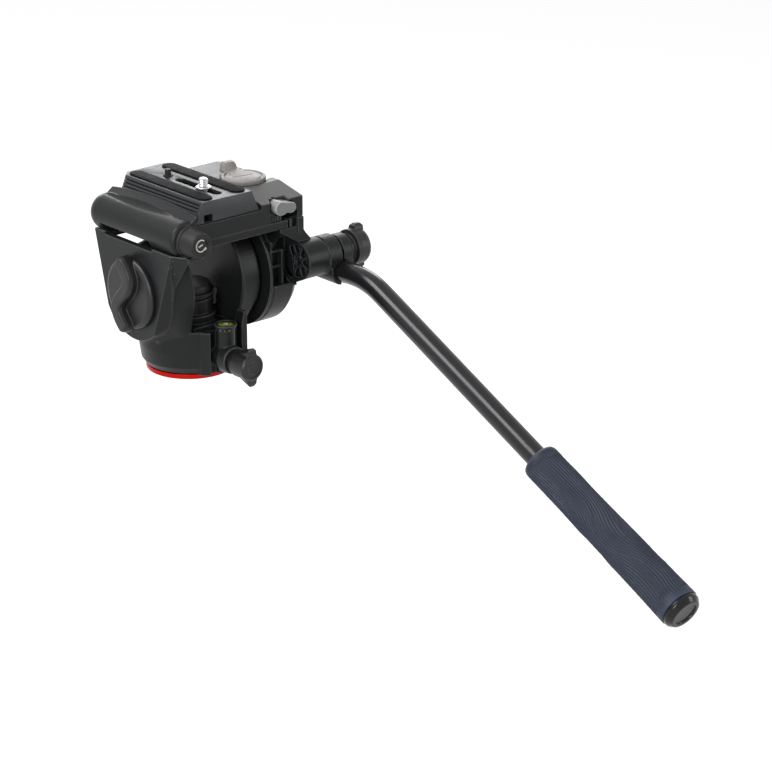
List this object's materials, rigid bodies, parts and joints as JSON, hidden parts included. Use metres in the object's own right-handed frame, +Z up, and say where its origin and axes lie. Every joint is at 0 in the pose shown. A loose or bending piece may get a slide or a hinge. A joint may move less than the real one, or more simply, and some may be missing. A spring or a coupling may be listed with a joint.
{
  "type": "fluid head",
  "caption": "Two-way fluid video head with a flat tripod base, panning housing, tilting yoke, sliding camera plate, drag and lock controls and a bent pan bar with a rubber grip.",
  "frame": {"origin": "centre of the flat base's underside, on the pan axis, where the tripod's stud enters", "axes": "+Z up along the pan axis, +Y forward along the lens, +X towards the side that carries the pan bar; the tilt axis runs along X at z = 62 mm"},
  "size_m": [0.1731, 0.4407, 0.2275],
  "materials": {
    "cast_black": "satin black powder coat over a casting",
    "moulded_black": "fine satin black moulding",
    "knob_black": "satin black moulded knob",
    "anodised_red": "red anodised, turned",
    "anodised_black": "glossy black anodised tube",
    "plate_grey": "satin grey-black anodised extrusion",
    "pad_rubber": "matte black ribbed rubber",
    "grip_rubber": "satin slate-blue moulded rubber",
    "grip_cap_black": "glossy black cap",
    "lever_grey": "speckled warm grey moulding",
    "button_grey": "satin light grey moulding",
    "steel": "turned bright steel",
    "brass": "machined brass",
    "polymer": "natural moulded polymer",
    "level_liquid": "yellow-green liquid under a clear lens"
  },
  "bodies": {
    "tripod_base": {"base_ring": "anodised_red", "tripod_thread_insert": "steel", "pan_shaft": "steel", "pan_drag_rotor": "steel", "base_screw_1": "steel", "base_screw_2": "steel", "base_screw_3": "steel"},
    "pan_body": {"pan_housing": "cast_black", "pan_turret_cap": "moulded_black", "pan_bearing": "steel", "pan_drag_cartridge": "polymer", "bubble_level": "level_liquid", "left_tilt_bush": "brass", "right_tilt_bush": "brass"},
    "pan_drag_ring": {"pan_drag_selector": "moulded_black"},
    "pan_lock": {"pan_lock_knob": "knob_black", "pan_lock_screw": "steel"},
    "pan_lock_shoe": {"pan_lock_pad": "brass"},
    "tilt_yoke": {"yoke_frame": "cast_black", "right_drum_housing": "cast_black", "receiver": "cast_black", "receiver_screw_1": "steel", "receiver_screw_2": "steel", "receiver_screw_3": "steel", "drum_screw_1": "steel", "drum_screw_2": "steel", "left_tilt_shaft": "steel", "right_tilt_shaft": "steel", "counterbalance_spring": "steel", "tilt_drag_cartridge": "polymer", "lever_pivot_pin": "steel", "release_button_spring": "steel"},
    "tilt_lock": {"tilt_lock_knob": "knob_black", "tilt_lock_bolt": "steel"},
    "tilt_drag_selector": {"drag_selector_cap": "moulded_black", "drag_selector_rod": "steel"},
    "plate_lever": {"lock_lever": "lever_grey"},
    "plate_jaw": {"locking_jaw": "steel"},
    "plate_release": {"release_button": "button_grey"},
    "sliding_plate": {"camera_plate": "plate_grey", "rubber_pad_left": "pad_rubber", "rubber_pad_right": "pad_rubber", "pin_spring": "steel"},
    "plate_carriage": {"screw_carriage": "steel"},
    "plate_screw": {"camera_screw": "steel"},
    "plate_pin": {"anti_twist_pin": "moulded_black"},
    "pan_bar_arm": {"clamp_inner_half": "cast_black", "clamp_outer_half": "cast_black", "pan_bar": "anodised_black", "pan_bar_grip": "grip_rubber", "grip_end_cap": "grip_cap_black"},
    "pan_bar_lock": {"pan_bar_knob": "knob_black", "clamp_bolt": "steel"}
  },
  "joints": [
    {"name": "pan", "type": "hinge", "parent": "tripod_base", "child": "pan_body", "pos_m": [0, 0, 0.0205], "axis": [0, 0, 1], "continuous": true},
    {"name": "pan_drag_setting", "type": "hinge", "parent": "pan_body", "child": "pan_drag_ring", "pos_m": [0, 0, 0.052], "axis": [0, 0, 1], "range_deg": [-80, 40]},
    {"name": "pan_lock_turn", "type": "hinge", "parent": "pan_body", "child": "pan_lock", "pos_m": [0, -0.055, 0.016], "axis": [0, 1, 0], "range_deg": [0, 180]},
    {"name": "pan_lock_press", "type": "slide", "parent": "pan_body", "child": "pan_lock_shoe", "axis": [0, 1, 0], "range_m": [0, 0.001]},
    {"name": "tilt", "type": "hinge", "parent": "pan_body", "child": "tilt_yoke", "pos_m": [0, 0, 0.062], "axis": [1, 0, 0], "range_deg": [-90, 60]},
    {"name": "tilt_lock_turn", "type": "hinge", "parent": "tilt_yoke", "child": "tilt_lock", "pos_m": [-0.05, 0, 0.062], "axis": [1, 0, 0], "range_deg": [0, 150]},
    {"name": "tilt_drag_setting", "type": "hinge", "parent": "tilt_yoke", "child": "tilt_drag_selector", "pos_m": [-0.034, -0.05, 0.106], "axis": [0, 1, 0], "range_deg": [-90, 90]},
    {"name": "plate_lever_turn", "type": "hinge", "parent": "tilt_yoke", "child": "plate_lever", "pos_m": [0.046, -0.003, 0.122], "axis": [0, 0, 1], "range_deg": [-75, 0]},
    {"name": "plate_jaw_slide", "type": "slide", "parent": "tilt_yoke", "child": "plate_jaw", "axis": [1, 0, 0], "range_m": [0, 0.0015]},
    {"name": "plate_release_press", "type": "slide", "parent": "tilt_yoke", "child": "plate_release", "axis": [0, 1, 0], "range_m": [0, 0.0028], "stiffness_N_per_m": 400, "springref_m": -0.002, "deforming": ["release_button_spring"]},
    {"name": "plate_slide", "type": "slide", "parent": "tilt_yoke", "child": "sliding_plate", "axis": [0, 1, 0], "range_m": [0, 0.02]},
    {"name": "screw_carriage_slide", "type": "slide", "parent": "sliding_plate", "child": "plate_carriage", "axis": [0, 1, 0], "range_m": [-0.011, 0.022]},
    {"name": "camera_screw_turn", "type": "hinge", "parent": "plate_carriage", "child": "plate_screw", "pos_m": [0, -0.0185, 0.127], "axis": [0, 0, 1], "continuous": true},
    {"name": "anti_twist_pin_press", "type": "slide", "parent": "sliding_plate", "child": "plate_pin", "axis": [0, 0, 1], "range_m": [-0.0045, 0], "stiffness_N_per_m": 200, "springref_m": 0.003, "deforming": ["pin_spring"]},
    {"name": "pan_bar_angle", "type": "hinge", "parent": "tilt_yoke", "child": "pan_bar_arm", "pos_m": [0.089, -0.044, 0.072], "axis": [1, 0, 0], "range_deg": [-90, 90]},
    {"name": "pan_bar_lock_turn", "type": "hinge", "parent": "tilt_yoke", "child": "pan_bar_lock", "pos_m": [0.108, -0.044, 0.072], "axis": [1, 0, 0], "range_deg": [-360, 0]}
  ],
  "couplings": [
    {"joint": "pan_lock_press", "follows": "pan_lock_turn", "m_per_rad": 0.0003151},
    {"joint": "plate_jaw_slide", "follows": "plate_lever_turn", "m_per_rad": -0.0011}
  ]
}
